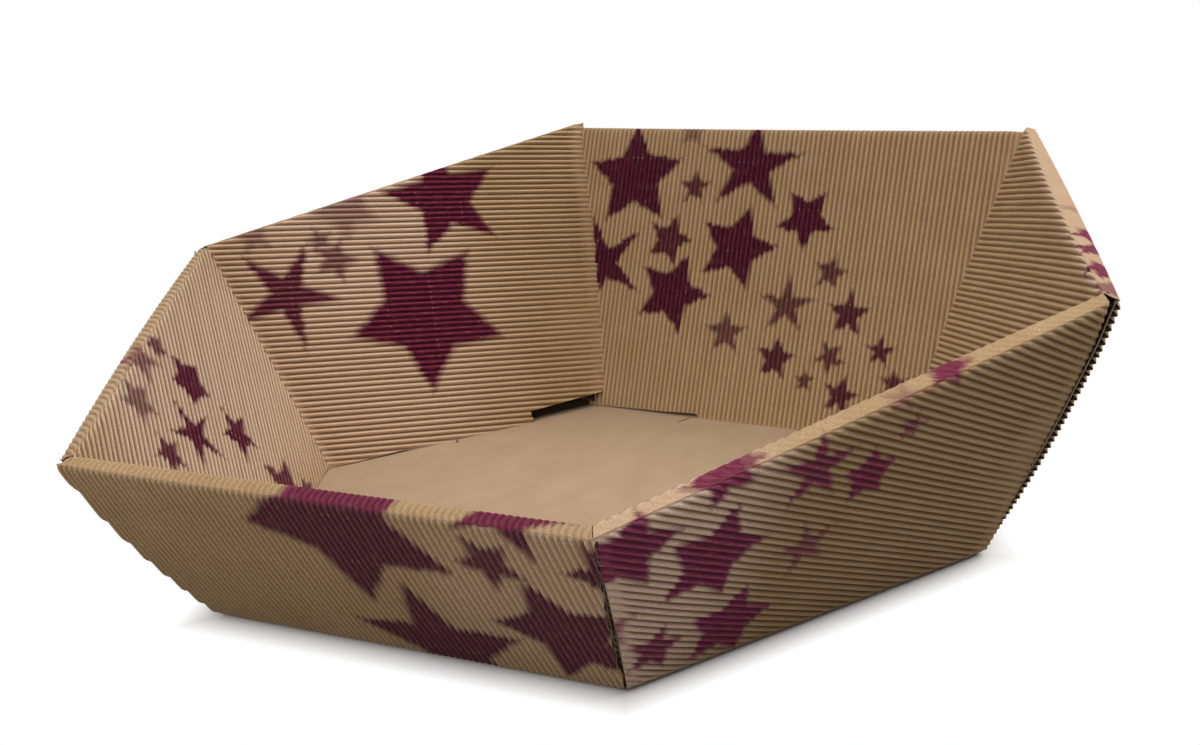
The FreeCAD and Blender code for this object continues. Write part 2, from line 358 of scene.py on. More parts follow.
# The foot of each inner panel: share along it and how far it stands above the floor.
# A middle part at the floor is the locking tab; the rest is cut a little higher.
FEET = {
    "front_left": ((0, 0.9), (0.33, 0.9), (0.335, -0.9), (0.68, -0.9), (0.685, 0.9), (1, 0.9)),
    "back_left": ((0, 0.5), (0.25, 0.8), (0.255, -0.9), (0.70, -0.9), (0.702, 4.6), (1, 5.8)),
    "back": (
        (0, 0.5), (0.25, 1.4), (0.34, 2.1), (0.35, 1.8),
        (0.352, -0.9), (0.67, -0.9), (0.672, 1.3), (1, 0.5),
    ),
    "back_right": ((0, 7.2), (0.32, 3.8), (0.325, -0.9), (0.775, -0.9), (0.78, 0.9), (1, 1.0)),
    "front_right": ((0, 0.9), (0.315, 0.9), (0.32, -0.9), (0.665, -0.9), (0.67, 0.9), (1, 0.9)),
    "front": ((0, 0.7), (0.30, 0.7), (0.31, -0.9), (0.69, -0.9), (0.70, 0.7), (1, 0.7)),
}


def three(values, u):
    """A smooth value from three: at 0, at the middle and at 1."""
    start, middle, end = values
    return start * (1 - u) * (1 - 2 * u) + middle * 4 * u * (1 - u) + end * u * (2 * u - 1)


def line_shift(wall, table, u):
    rows = table.get(wall.name, ((0, 0),) * 3)
    shift = np.zeros((len(u), 3))
    for i, direction in enumerate((wall.outward, UP, wall.edge)):
        shift += np.outer(three([(row + (0,))[i] for row in rows], u), direction)
    return shift


def outer_end(wall, neighbour):
    if wall.flaps:
        return neighbour.outer.plane.behind(BOARD + FLAP_SPACE)
    return neighbour.outer.plane


def inner_end(wall, neighbour):
    return neighbour.inner.plane.behind(BOARD if wall.flaps else -EDGE_GAP)


def strip_end(wall, neighbour, corner):
    return Plane(wall.outward - neighbour.outward, corner).behind(-CORNER_GAP / 2)


def side_line(low, high, profile, inward):
    """Points from the low to the high corner of a side edge, moved by its profile."""
    return [low + (high - low) * share + inward * back for share, back in profile]


def both_ends(table, wall, usual=None):
    """What a table holds for a wall's start and end."""
    return table.get((wall.name, "start"), usual), table.get((wall.name, "end"), usual)


def corners_of(face, low, high, ends):
    """The corners of a face between two lines and two ends: low start, low end, high end, high start."""
    pairs = ((low, ends[0]), (low, ends[1]), (high, ends[1]), (high, ends[0]))
    return [meet(face, line, end) for line, end in pairs]


def quad(panel, corners, edges, foot=STRAIGHT):
    """A panel's outline on the blank from its four corners in space, with shaped side edges and foot."""
    corners = [panel.to_blank(p)[:2] for p in corners]
    inward = unit(corners[1] - corners[0])
    right = side_line(corners[1], corners[2], edges[1], -inward)
    left = side_line(corners[0], corners[3], edges[0], inward)
    rise = np.array([-inward[1], inward[0]])
    if rise @ (corners[0] - corners[3]) < 0:
        rise = -rise
    far = side_line(right[-1], left[-1], [(1 - share, back) for share, back in foot[::-1]], rise)
    return np.array(right[:-1] + far + left[:-1][::-1])


def chains(outline):
    """The lower and upper boundary of an outline, each as a table of x and y."""
    first = int(np.lexsort((outline[:, 1], outline[:, 0]))[0])
    points = np.roll(outline, -first, axis=0)
    last = int(np.argmax(points[:, 0]))
    one = points[: last + 1]
    other = np.vstack([points[last:], points[:1]])[::-1]
    if one[:, 1].mean() > other[:, 1].mean():
        one, other = other, one
    return one, other


def spread(low, high, slant):
    """Row positions along each column: close together near both ends, where folds are."""
    length = high - low
    near = np.array(ROWS) / slant
    scale = np.minimum(1.0, MOST_ROWS * length / near[-1])
    start = near[None, :] * scale[:, None]
    end = length[:, None] - start[:, ::-1]
    middle = start[:, -1:] + (end[:, :1] - start[:, -1:]) * np.array(MIDDLE_ROWS)[None, :]
    return low[:, None] + np.concatenate([start, middle, end], 1)


def grid(outline, step, slant):
    """Columns along the flutes and rows across them that fill an outline of the blank."""
    lower, upper = chains(outline)
    left = outline[:, 0].min()
    right = outline[:, 0].max()
    inner = np.arange(math.ceil(left / step), math.floor(right / step) + 1) * step
    x = np.unique(np.round(np.concatenate([inner, outline[:, 0]]), 3))
    low = np.interp(x, lower[:, 0], lower[:, 1])
    high = np.interp(x, upper[:, 0], upper[:, 1])
    high = np.maximum(high, low + LEAST_FLUTE)
    y = spread(low, high, slant)
    return np.repeat(x[:, None], y.shape[1], 1), y


# Places in each piece's list of materials
FLUTED_SIDE = 0
HIDDEN_SIDE = 1
CUT_EDGE = 2
PRESSED_SIDE = 3


class Sheet:
    """The faces of one piece, with each point's spot on the blank and how far out of a valley it is."""

    def __init__(self):
        self.points = []
        self.faces = []
        self.materials = []
        self.spots = []
        self.reliefs = []
        self.count = 0

    def slab(self, top, bottom, x, y, phase, relief, material, closed):
        """Two surfaces over one grid, joined where closed says that the ends of its columns are cut."""
        columns, rows = x.shape
        index = np.arange(columns * rows).reshape(columns, rows)
        a = index[:-1, :-1].ravel()
        b = index[1:, :-1].ravel()
        c = index[1:, 1:].ravel()
        d = index[:-1, 1:].ravel()
        shift = columns * rows
        faces = [np.stack([a, d, c, b], 1), np.stack([a, b, c, d], 1) + shift]
        sides = []
        for side, row in ((closed[0], 0), (closed[1], rows - 1)):
            line = index[:, row]
            cut = side[:-1] & side[1:]
            one = line[:-1][cut]
            two = line[1:][cut]
            sides.append(np.stack([one, two, two + shift, one + shift], 1))
        for column in (0, columns - 1):
            line = index[column]
            sides.append(np.stack([line[:-1], line[1:], line[1:] + shift, line[:-1] + shift], 1))
        spots = np.stack([x.ravel(), y.ravel(), phase], 1)
        sides = np.concatenate(sides)
        materials = np.full(len(faces[0]) * 2 + len(sides), material)
        materials[len(faces[0]) :] = HIDDEN_SIDE
        materials[len(faces[0]) * 2 :] = CUT_EDGE
        self.points += [top, bottom]
        self.faces.append(np.concatenate(faces + [sides]) + self.count)
        self.materials.append(materials)
        self.spots += [spots, spots]
        self.reliefs += [relief, relief]
        self.count += 2 * len(top)

    def build(self, name, materials):
        points = np.concatenate(self.points) * MM
        points[:, 1] += SHIFT_Y * MM
        faces = np.concatenate(self.faces)
        mesh = bpy.data.meshes.new(name)
        mesh.vertices.add(len(points))
        mesh.vertices.foreach_set("co", points.ravel())
        mesh.loops.add(faces.size)
        mesh.loops.foreach_set("vertex_index", faces.ravel())
        mesh.polygons.add(len(faces))
        mesh.polygons.foreach_set("loop_start", np.arange(len(faces)) * 4)
        mesh.polygons.foreach_set("material_index", np.concatenate(self.materials))
        mesh.update(calc_edges=True)
        spot = mesh.attributes.new("spot", "FLOAT_VECTOR", "POINT")
        spot.data.foreach_set("vector", np.concatenate(self.spots).ravel())
        relief = mesh.attributes.new("relief", "FLOAT", "POINT")
        relief.data.foreach_set("value", np.concatenate(self.reliefs))
        for material in materials:
            mesh.materials.append(material)
        piece = add_object(name, mesh)
        join_points(mesh)
        mesh.shade_smooth()
        mesh.set_sharp_from_angle(angle=math.radians(SHARP_ANGLE))
        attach(piece, "root")
        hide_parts("folded_box")
        return piece


def join_points(mesh):
    """Joins the points that neighbouring panels share along a fold."""
    work = bmesh.new()
    work.from_mesh(mesh)
    bmesh.ops.remove_doubles(work, verts=work.verts, dist=JOIN_DISTANCE)
    work.to_mesh(mesh)
    work.free()


def wave(phase, x, y, deep):
    """The flute's height share at a spot of the blank: broad round crests that wander a little."""
    wander = np.zeros(len(x))
    for size, along, across in WANDERS:
        wander += size * np.sin(y / along + x * across)
    share = 0.5 - 0.5 * np.cos(2 * math.pi * (phase + wander) / FLUTE_PITCH)
    return share ** np.clip(FLUTE_ROUND - OPEN_ROUND * (deep - 1), LEAST_ROUND, 1.0)


def widen(name, x):
    """Where the flutes lie: their pitch grows a little towards the ends of the sheet."""
    beyond = np.clip(np.abs(x) - WIDER_FROM, 0, None)
    return x - np.sign(x) * WIDER.get(name, 0.0) * beyond ** 2


def place(panel, x, y, depth, folds, shift):
    """Points of a bent panel: depth is measured in from the crests, folds round it off at its ends."""
    points = panel.origin + np.outer(x - panel.spot[0], panel.across)
    points = points + np.outer(y - panel.spot[1], panel.run) + shift
    normal = np.tile(panel.normal, (len(x), 1))
    best = np.full(len(x), np.inf)
    choice = np.full(len(x), -1)
    for i, fold in enumerate(folds):
        share = fold.distance(x, y) / fold.reach
        closer = share < best
        best = np.where(closer, share, best)
        choice = np.where(closer, i, choice)
    for i, fold in enumerate(folds):
        near = (choice == i) & (best < 1)
        s = np.clip(fold.distance(x, y), 0, None)[near]
        angle = fold.half * (1 - s / fold.reach)
        line = unit(panel.across * fold.line[0] + panel.run * fold.line[1])
        into = np.cross(panel.normal, line)
        if into @ (panel.across * fold.side[0] + panel.run * fold.side[1]) < 0:
            into = -into
        points[near] += np.outer(fold.reach - CREASE_RADIUS * np.sin(angle) - s, into)
        points[near] -= np.outer(CREASE_RADIUS * (1 - np.cos(angle)), panel.normal)
        normal[near] = np.outer(np.cos(angle), panel.normal) - np.outer(np.sin(angle), into)
    return points - normal * depth[:, None]


def still(x, y):
    """The shift of a panel that stays where it is."""
    return np.zeros((len(x), 3))


def fade(distance, reach):
    """1 on a line, and less and less away from it."""
    return np.exp(-((distance / reach) ** 2))


def flutes(wall, x, y, deep, folds, strip, cuts):
    """The flutes at spots of the blank: their phase and what creases and cuts leave of their height."""
    amplitude = np.ones(len(x))
    phase = widen(wall, x)
    if strip is not None:
        share = np.clip(strip.distance(x, y) / RIM_WIDTH, 0, 1)
        middle = np.sin(math.pi * share)
        phase = phase + STRIP_LEAN * middle
        amplitude = amplitude * STRIP_HEIGHTS[wall] * (STRIP_LOW + STRIP_MORE * middle)
        return phase, amplitude
    for fold in folds:
        crush, reach = SOFT_RIMS.get(wall, USUAL_CREASE) if fold.rim else USUAL_CREASE
        amplitude = amplitude * (1 - crush * fade(np.clip(fold.distance(x, y), 0, None), reach))
    for cut in cuts:
        away = np.clip(cut.distance(x, y), 0, None) + OPEN_KEEPS * (deep - 1)
        amplitude = amplitude * (1 - CUT_CRUSH * fade(away, CUT_REACH))
    return phase, amplitude


def lay(sheet, wall, panel, outline, folds, shift_of, slant, strip=None, cuts=(), opened=()):
    """Adds one panel of the board to a sheet: its smooth liner and over it the fluted paper."""
    for step, fluted in ((FLUTE_PITCH / SAMPLES, True), (FLUTE_PITCH * LINER_STEP, False)):
        gx, gy = grid(outline, step, slant)
        x = gx.ravel()
        y = gy.ravel()
        shift = shift_of(x, y)
        closed = []
        for row in (0, -1):
            off_folds = np.ones(gx.shape[0], bool)
            for fold in folds:
                off_folds &= np.abs(fold.distance(gx[:, row], gy[:, row])) > ON_FOLD
            closed.append(off_folds)
        deep = np.ones(len(x))
        for cut, extra in opened:
            if extra is not None:
                deep = deep + extra * fade(cut.distance(x, y), OPEN_REACH)
        if fluted:
            phase, amplitude = flutes(wall, x, y, deep, folds, strip, cuts)
            share = wave(phase, x, y, deep)
            relief = amplitude * share
            if strip is not None:
                relief = relief + STRIP_LIFT
            depth = FLUTE_HEIGHT * deep * (1 - relief)
            top = place(panel, x, y, depth, folds, shift)
            bottom = place(panel, x, y, depth + MEDIUM, folds, shift)
            tone = 1 - np.clip(amplitude, 0, 1) ** TONE_POWER * (1 - share)
            side = FLUTED_SIDE if strip is None else PRESSED_SIDE
            sheet.slab(top, bottom, gx, gy, phase, tone, side, closed)
        else:
            flat = FLUTE_HEIGHT * deep + LINER_SPACE
            top = place(panel, x, y, flat, folds, shift)
            bottom = place(panel, x, y, flat + LINER, folds, shift)
            sheet.slab(top, bottom, gx, gy, x, np.ones(len(x)), HIDDEN_SIDE, closed)


def wall_folds(wall, base_half):
    """The wall's three folds, each seen from both of its panels."""
    middle = (wall.start + wall.end) / 2
    crease_a = wall.strip.spot
    crease_b = crease_a + wall.strip.spot_along * wall.rim_length
    fold_a = crease_a + wall.strip.spot_away * RIM_WIDTH
    fold_b = crease_b + wall.strip.spot_away * RIM_WIDTH
    inner_a = wall.inner.spot
    inner_b = inner_a + wall.inner.spot_along * wall.rim_length
    rim_half = half_turn(wall.outer.normal, wall.strip.normal)
    fold_half = half_turn(wall.strip.normal, wall.inner.normal)
    crease = Fold(crease_a, crease_b, middle, rim_half, rim=True)
    outer = [Fold(wall.start, wall.end, crease_a, base_half), crease]
    strip = [Fold(crease_a, crease_b, fold_a, rim_half), Fold(fold_a, fold_b, middle, fold_half)]
    inner = [Fold(inner_a, inner_b, inner_a + wall.inner.spot_away, fold_half)]
    return outer, strip, inner


def between(one, other, x, y):
    """How far from one line to another a spot lies, from 0 to 1."""
    first = one.distance(x, y)
    return np.clip(first / (first + other.distance(x, y)), 0, 1)


def side_edges(panel, corners):
    """The two side edges of a panel on the blank."""
    spots = [panel.to_blank(p) for p in corners]
    middle = sum(spots) / 4
    return Fold(spots[0], spots[3], middle), Fold(spots[1], spots[2], middle)


def side_flap(sheet, wall, neighbour, low, high, profile, inward, trims):
    """Adds a glued flap in the hollow of the wall's neighbour, and gives the fold it has on the wall."""
    if wall.name not in PROUD_WALLS:
        low = low + inward * profile[0][1]
        high = high + inward * profile[-1][1]
    along = unit(high - low)
    spot_low = wall.outer.to_blank(low)
    spot_high = wall.outer.to_blank(high)
    spot_along = unit(spot_high - spot_low)
    middle = wall.outer.to_blank((wall.start + wall.end) / 2)
    spot_away = vec(-spot_along[1], spot_along[0])
    if spot_away @ (middle - spot_low) > 0:
        spot_away = -spot_away
    away = np.cross(neighbour.outer.normal, along)
    if away @ ((neighbour.start + neighbour.end) / 2 - low) < 0:
        away = -away
    length = np.linalg.norm(spot_high - spot_low)
    trim_low, trim_high = trims
    if np.cross(away, along) @ neighbour.outer.normal < 0:
        along, spot_along, low, spot_low = -along, -spot_along, high, spot_high
        trim_low, trim_high = trim_high, trim_low
    flap = Panel(low, along, away, spot_low, spot_along, spot_away)
    half = half_turn(wall.outer.normal, flap.normal)
    outline = [
        spot_low + spot_along * trim_low,
        spot_low + spot_along * (length - trim_high),
        spot_low + spot_along * (length - trim_high - FLAP_SLANT) + spot_away * FLAP_DEPTH,
        spot_low + spot_along * (trim_low + FLAP_SLANT) + spot_away * FLAP_DEPTH,
    ]
    spot_end = spot_low + spot_along * length
    fold = Fold(spot_low, spot_end, outline[2], half)
    outline = np.array([point[:2] for point in outline])
    lay(sheet, wall.name, flap, outline, [fold], still, max(LEAST_SLANT, abs(spot_along[0])))
    return Fold(spot_low, spot_end, middle, half)


def build_wall(walls, i, materials):
    wall = walls[i]
    before = walls[i - 1]
    after = walls[(i + 1) % 6]
    base_half = half_turn(wall.outer.normal, -UP)
    outer_folds, strip_folds, inner_folds = wall_folds(wall, base_half)
    slant_rim = abs(wall.strip.spot_along[0])
    rim_plane = Plane(np.cross(wall.strip.along, wall.outer.normal), wall.rim_start)
    sheet = Sheet()

    ends = (outer_end(wall, before), outer_end(wall, after))
    edges = both_ends(OUTER_EDGES, wall, STRAIGHT)
    corners = corners_of(wall.outer.plane, level(0), rim_plane, ends)
    outline = quad(wall.outer, corners, edges)
    sides = side_edges(wall.outer, corners)
    swell = OUTER_SWELL[wall.name]
    side_folds = []
    if wall.flaps:
        trims = both_ends(FLAP_TRIMS, wall, USUAL_TRIMS)
        for other, low, high, profile, inward, trim in (
            (before, corners[0], corners[3], edges[0], wall.edge, trims[0]),
            (after, corners[1], corners[2], edges[1], -wall.edge, trims[1]),
        ):
            side_folds.append(side_flap(sheet, wall, other, low, high, profile, inward, trim))
    if wall.name in PROUD_WALLS:
        side_folds = []
    side_cuts = () if side_folds else sides
    opened = list(zip(sides, both_ends(OPEN_EDGES, wall)))

    def outer_shift(x, y):
        v = between(*outer_folds, x, y)
        u = between(*sides, x, y)
        edge = np.minimum(1, STIFF_EDGE * u * (1 - u))
        bulge = three(swell, u) * np.sin(math.pi * v) * (edge if wall.flaps else 1)
        rise = line_shift(wall, RIM_SHIFT, wall.rim_share(wall.strip, x, y)) * v[:, None]
        return rise + bulge[:, None] * wall.outer.normal

    slant = min(abs(wall.edge[0]), slant_rim)
    folds = outer_folds + side_folds
    lay(sheet, wall.name, wall.outer, outline, folds, outer_shift, slant, cuts=side_cuts, opened=opened)

    strip_cuts = [strip_end(wall, before, wall.rim_start), strip_end(wall, after, wall.rim_end)]
    face = wall.strip.plane
    fold_plane = Plane(np.cross(wall.strip.along, wall.strip.normal), wall.inner.origin)
    creases = []
    folds = []
    for cut, stop, profile, way in zip(strip_cuts, ends, edges, (1, -1)):
        crease = meet(face, rim_plane, stop if wall.flaps else cut)
        back = wall.strip.spot_along[:2] * (way * profile[-1][1])
        creases.append(wall.strip.to_blank(crease)[:2] + back)
        folds.append(wall.strip.to_blank(meet(face, fold_plane, cut))[:2])
    outline = np.array(creases + folds[::-1])

    def strip_shift(x, y):
        t = np.clip(strip_folds[0].distance(x, y) / RIM_WIDTH, 0, 1)[:, None]
        u = wall.rim_share(wall.strip, x, y)
        return line_shift(wall, RIM_SHIFT, u) * (1 - t) + line_shift(wall, FOLD_SHIFT, u) * t

    lay(sheet, wall.name, wall.strip, outline, strip_folds, strip_shift, slant_rim, strip=strip_folds[0])

    ends = (inner_end(wall, before), inner_end(wall, after))
    corners = corners_of(wall.inner.plane, fold_plane, level(BOARD), ends)
    outline = quad(wall.inner, corners, both_ends(INNER_EDGES, wall, STRAIGHT), FEET[wall.name])
    sides_in = side_edges(wall.inner, corners)
    foot_line = Fold(wall.inner.to_blank(corners[3]), wall.inner.to_blank(corners[2]), wall.inner.spot)
    swell_in = INNER_SWELL.get(wall.name, (0, 0, 0))

    def inner_shift(x, y):
        v = between(inner_folds[0], foot_line, x, y)
        u = between(*sides_in, x, y)
        bulge = three(swell_in, u) * np.sin(math.pi * v)
        shift = line_shift(wall, FOLD_SHIFT, wall.rim_share(wall.inner, x, y)) * (1 - v)[:, None]
        shift = shift + line_shift(wall, FOOT_SHIFT, u) * v[:, None]
        return shift + bulge[:, None] * wall.inner.normal

    inner_cuts = [*sides_in, foot_line]
    lay(sheet, wall.name, wall.inner, outline, inner_folds, inner_shift, slant_rim, cuts=inner_cuts)
    return sheet.build("wall_" + wall.name, materials)


def build_base(walls, materials):
    outline = np.array([wall.start[:2] for wall in walls])
    panel = Panel(vec(0, 0), vec(1, 0), vec(0, 1), vec(0, 0), vec(1, 0), vec(0, 1))
    folds = []
    for wall in walls:
        folds.append(Fold(wall.start, wall.end, (0, 0), half_turn(wall.outer.normal, -UP)))
    sheet = Sheet()
    lay(sheet, "base", panel, outline, folds, still, BASE_SLANT)
    return sheet.build("base_sheet", materials)


def new_material(name):
    material = bpy.data.materials.new(name)
    material.use_nodes = True
    material.node_tree.nodes.clear()
    return material


class Nodes:
    """Short ways to add and join shader nodes."""

    def __init__(self, tree):
        self.tree = tree

    def add(self, kind, inputs=(), out=0, **settings):
        node = self.tree.nodes.new("ShaderNode" + kind)
        for key, value in settings.items():
            setattr(node, key, value)
        for key, value in (inputs.items() if isinstance(inputs, dict) else enumerate(inputs)):
            if isinstance(value, bpy.types.NodeSocket):
                self.tree.links.new(value, node.inputs[key])
            else:
                node.inputs[key].default_value = value
        return node.outputs[out] if len(node.outputs) else node

    def math(self, operation, *inputs):
        return self.add("Math", inputs, operation=operation)

    def times(self, *inputs):
        return self.math("MULTIPLY", *inputs)

    def vmath(self, operation, *inputs, out=0):
        return self.add("VectorMath", inputs, out=out, operation=operation)

    def mix(self, share, first, second, blend="MIX"):
        inputs = {0: share, 6: first, 7: second}
        return self.add("Mix", inputs, out=2, data_type="RGBA", blend_type=blend)

    def ramp(self, value, low, high, start=0.0, end=1.0, kind="LINEAR"):
        inputs = [value, low, high, start, end]
        return self.add("MapRange", inputs, clamp=True, interpolation_type=kind)

    def noise(self, spot, scale, detail, roughness=0.5):
        inputs = {"Vector": spot, "Scale": scale, "Detail": detail, "Roughness": roughness}
        return self.add("TexNoise", inputs)

    def split(self, vector):
        return self.add("SeparateXYZ", [vector]).node.outputs

    def seen(self):
        """1 for the camera's rays and for those that metal and glass show, and 0 for all others."""
        path = self.add("LightPath").node.outputs
        direct = self.math("MAXIMUM", path["Is Camera Ray"], path["Is Glossy Ray"])
        return self.math("MAXIMUM", direct, path["Is Transmission Ray"])

    def paper_shader(self, tone, height, bump, roughness, specular):
        """Uncoated paper: its colour over a fine bump."""
        normal = self.add("Bump", {"Strength": bump, "Distance": BUMP_HEIGHT, "Height": height})
        inputs = {"Base Color": tone, "Roughness": roughness, "Normal": normal}
        inputs["Specular IOR Level"] = specular
        self.add("OutputMaterial", [self.add("BsdfPrincipled", inputs)])


ARM = math.pi / 5
STAR_INPUTS = ("Turn", "Radius", "Slope x", "Slope y", "Narrow", "Soft", "Ink")


def star_group():
    """A node group that gives how much ink one star leaves at a spot of the blank."""
    tree = bpy.data.node_groups.new("star", "ShaderNodeTree")
    face = tree.interface
    for name in ("Spot", "Centre"):
        face.new_socket(name, in_out="INPUT", socket_type="NodeSocketVector")
    for name in STAR_INPUTS:
        face.new_socket(name, in_out="INPUT", socket_type="NodeSocketFloat")
    face.new_socket("Mask", in_out="OUTPUT", socket_type="NodeSocketFloat")
    n = Nodes(tree)
    given = tree.nodes.new("NodeGroupInput").outputs
    parts = n.split(n.vmath("SUBTRACT", given["Spot"], given["Centre"]))
    x = n.times(parts[0], given["Narrow"])
    y = parts[1]
    far = n.math("SQRT", n.math("ADD", n.times(x, x), n.times(y, y)))
    angle = n.math("SUBTRACT", n.math("ARCTAN2", y, x), given["Turn"])
    arm = n.math("PINGPONG", angle, ARM)
    along = n.math("SUBTRACT", n.times(far, n.math("COSINE", arm)), given["Radius"])
    along = n.times(along, given["Slope x"])
    aside = n.times(n.times(far, n.math("SINE", arm)), given["Slope y"])
    share = n.math("DIVIDE", n.math("ADD", along, aside), given["Soft"])
    result = n.times(n.ramp(share, 0.5, -0.5), given["Ink"])
    tree.links.new(result, tree.nodes.new("NodeGroupOutput").inputs["Mask"])
    return tree


def star_mask(n, group, spot, x, y, radius, turn, inner, soft, ink=1.0, narrow=1.0):
    """How much ink a star leaves: its arms run from a tip at its radius to a notch at its inner share."""
    run_x = inner * math.sin(ARM)
    run_y = 1 - inner * math.cos(ARM)
    size = math.hypot(run_x, run_y)
    inputs = [spot, (x, y, 0), math.radians(turn), radius, run_x / size, run_y / size, narrow, soft, ink]
    return n.add("Group", inputs, node_tree=group)


# Printed stars of each wall on the blank, in mm: x, y, radius, turn in degrees, share of the radius at
# the notches, softness of the outline, and where they aren't 1 the strength and the scale of x
STARS = {
    "back": (
        (-73.5, 275, 24.5, 49, 0.50, 1.8, 1.0, 0.92), (-40, 278.3, 8.5, 54, 0.42, 1.6, 0.9),
        (-11.5, 267.3, 21.5, 56, 0.38, 2.0, 1.0, 0.82), (-50.3, 303.3, 12.5, 70, 0.48, 1.6, 0.95),
        (-45, 328, 19, 72, 0.50, 1.8, 1.0, 0.93), (-14, 305, 19.5, 68, 0.50, 1.6, 1.0, 0.93),
        (19.3, 290.3, 14.8, 17, 0.48, 1.4), (35, 313.5, 8.5, 66, 0.42, 1.6, 0.85),
        (-13.5, 344, 10.5, 50, 0.42, 1.8, 0.8, 0.95), (-85, 317, 24, 30, 0.30, 1.6),
        (15.5, 329.5, 13, 54, 0.36, 1.8, 0.85, 0.92), (46.5, 331, 10.5, 54, 0.44, 1.4, 0.95),
        (64, 346, 7.5, 54, 0.36, 1.2, 0.95), (13.5, 353.5, 9.8, 58, 0.50, 1.4, 0.95),
        (40.5, 350.5, 7.8, 20, 0.44, 1.4, 0.85), (29.8, 361.8, 5, 54, 0.46, 1.2, 0.85),
        (48, 366.5, 9, 64, 0.45, 1.6, 0.95), (72, 358.8, 6.5, 54, 0.42, 1.4, 0.9),
        (-45, 252, 8, 54, 0.5, 2.5, 0.55),
    ),
    "back_left": (
        (-289, 121, 36, 39, 0.53, 3.4), (-235.5, 137, 28, 60, 0.44, 2.4),
        (-277.5, 62, 23.5, 26, 0.31, 2.4, 0.95, 0.95), (-263, 84, 10, 20, 0.5, 3.0, 0.75),
        (-254, 78, 6, 54, 0.5, 2.5, 0.7), (-239, 91, 15, 40, 0.6, 5.0, 0.5),
        (-235.5, 97, 5, 54, 0.5, 3.0, 0.6), (-251, 50, 9, 54, 0.5, 3.0, 0.5),
    ),
    "front_left": (
        (-244.5, -137.5, 12.3, 45, 0.42, 1.6), (-215.5, -151, 15, 53, 0.30, 1.6, 1.0, 0.95),
        (-219, -124.5, 11.6, 48, 0.6, 1.8), (-202.7, -116, 6, 54, 0.6, 1.8, 0.85),
        (-190.5, -127, 12, 30, 0.42, 2.4, 0.75), (-185.8, -149.3, 10, 50, 0.48, 2.2, 0.7),
        (-197.7, -167.5, 8.5, 50, 0.5, 1.8, 0.95), (-273, -153, 17, 26, 0.48, 2.0, 0.95),
        (-289, -146, 7, 54, 0.5, 2.0, 0.9),
    ),
    "back_right": (
        (233.5, 80.5, 8.2, 12, 0.50, 1.6), (240.5, 67.5, 7.4, 44, 0.45, 1.4),
        (246.8, 50.5, 9, 18, 0.45, 1.4), (253.5, 35.5, 7.5, 54, 0.55, 1.8, 0.75),
        (226.5, 108, 4, 54, 0.5, 2.0, 0.45),
    ),
    "front_right": (
        (135.8, -136.3, 18.5, 59, 0.52, 1.8, 1.0, 0.94), (133.5, -169, 17.5, 52, 0.50, 2.2),
        (99.7, -133, 10.5, 54, 0.48, 1.8, 0.95), (111.3, -109.3, 16.3, 56, 0.55, 1.8),
        (143.5, -100.3, 11.3, 32, 0.36, 2.2, 0.75), (172.3, -94.8, 10.5, 44, 0.6, 1.8),
        (170.5, -118.5, 14.5, 45, 0.36, 1.8, 0.95), (191, -90.2, 6, 54, 0.42, 1.6, 0.8),
        (164, -152.5, 12.5, 24, 0.55, 2.2), (170, -146.5, 6, 54, 0.5, 2.0, 0.9),
        (213.5, -90, 9.5, 54, 0.5, 2.6), (200, -102, 7, 54, 0.45, 3.0, 0.5),
        (104, -156, 10, 30, 0.5, 3.0, 0.8),
    ),
    "front": (
        (9, -198.5, 38.5, 27, 0.53, 3.0), (21.5, -140, 33.5, 51, 0.42, 2.6),
        (73, -158.5, 25.5, 41, 0.52, 2.2), (59, -189, 12, 28, 0.5, 2.6, 0.95),
        (100, -189, 16, 36, 0.45, 1.8), (71.5, -214, 22, 6, 0.42, 2.2),
    ),
}

# Colours of the paper: between the flutes, paler in mottling and as the painted highlight on crests, in
# fibres, the painted shade in valleys and floor slits, the painted pale pink light, and specks
KRAFT = (0.54, 0.355, 0.185, 1)
KRAFT_LIGHT = (0.68, 0.480, 0.290, 1)
KRAFT_DARK = (0.30, 0.175, 0.075, 1)
PAINTED_SHADE = (0.105, 0.055, 0.024, 1)
PAINTED_LIGHT = (0.92, 0.665, 0.520, 1)
SPECK = (0.55, 0.40, 0.34, 1)
# The print's colour, made lighter or darker on some walls by name as painted light and shade, and on the
# pressed strips of the rim
INK = (0.088, 0.008, 0.025)
INKS = {
    "front": (0.106, 0.031, 0.043),
    "front_right": (0.215, 0.037, 0.085),
    "back_left": (0.112, 0.009, 0.033),
    "back": (0.072, 0.006, 0.021),
}
STRIP_INK = (0.135, 0.018, 0.045)

# How dark the painted shade in each wall's valleys is, and how far up a flute that reaches
USUAL_PAINTED_SHADE = (0.7, 0.7)
PAINTED_SHADES = {
    "front_left": (0.95, 0.85),
    "back_left": (0.90, 0.62),
    "back": (0.60, 0.60),
    "back_right": (0.90, 0.66),
    "front_right": (0.92, 0.58),
    "front": (0.50, 0.75),
}

# Painted pools of pale pink light on the paper: a line on the blank, reach in mm and strength
PAINTED_LIGHTS = {
    "front_left": ((-265, -90, -205, -155, 75, 0.6),),
    "back_left": ((-310, 90, -270, 90, 90, 0.55), (-262, 90, -240, 110, 45, 0.4)),
    "back_right": ((188, 205, 252, 35, 13, 0.8),),
    "front_right": ((100, -150, 150, -165, 55, 1.0),),
    "front": ((60, -170, 100, -195, 50, 0.25),),
}

# Short slits in the floor where the locking tabs end, painted as thin lines of shade: both ends of each
# on the blank, and where it fades
SLITS = ((-27.5, 103.5, -29.5, 97.0), (-116.0, 46.5, -113.0, 42.5))
SLIT_EDGE = (0.6, 0.3)
